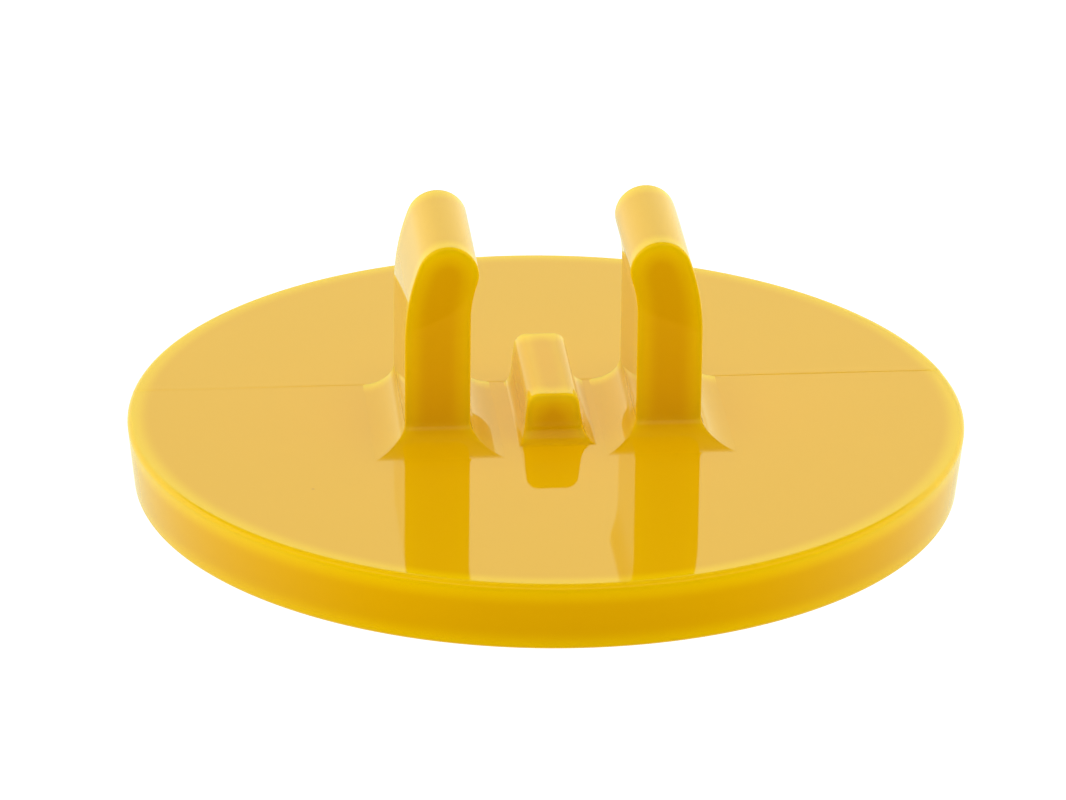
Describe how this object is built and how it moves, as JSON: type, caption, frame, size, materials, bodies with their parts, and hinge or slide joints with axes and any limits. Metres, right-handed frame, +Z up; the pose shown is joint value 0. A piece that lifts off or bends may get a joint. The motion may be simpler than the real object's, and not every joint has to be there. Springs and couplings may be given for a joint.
{
  "type": "clip-on disc",
  "caption": "Round flat disc in glossy yellow plastic that snaps onto a narrow bar, with sprung hook-ended clip arms either side of a low locating peg.",
  "frame": {"origin": "centre of the disc's flat underside, which is the bottom centre of the bounding box", "axes": "+Z up through the disc towards the clip arms; +X across the clip, from the left arm to the right arm; +Y along the clip channel, towards the mould's parting line"},
  "size_m": [0.04, 0.04, 0.0133],
  "materials": {
    "plastic": "glossy moulded yellow plastic, slightly translucent"
  },
  "bodies": {
    "base": {"disc": "plastic", "centre_peg": "plastic", "left_foot": "plastic", "right_foot": "plastic"},
    "left_clip_arm": {"left_arm": "plastic", "left_hook": "plastic"},
    "right_clip_arm": {"right_arm": "plastic", "right_hook": "plastic"}
  },
  "joints": [
    {"name": "left_arm_flex", "type": "hinge", "parent": "base", "child": "left_clip_arm", "pos_m": [-0.00702, 0, 0.00475], "axis": [0, -1, 0], "range_deg": [0, 4], "stiffness_Nm_per_rad": 6},
    {"name": "right_arm_flex", "type": "hinge", "parent": "base", "child": "right_clip_arm", "pos_m": [0.00702, 0, 0.00475], "axis": [0, 1, 0], "range_deg": [0, 4], "stiffness_Nm_per_rad": 6}
  ]
}
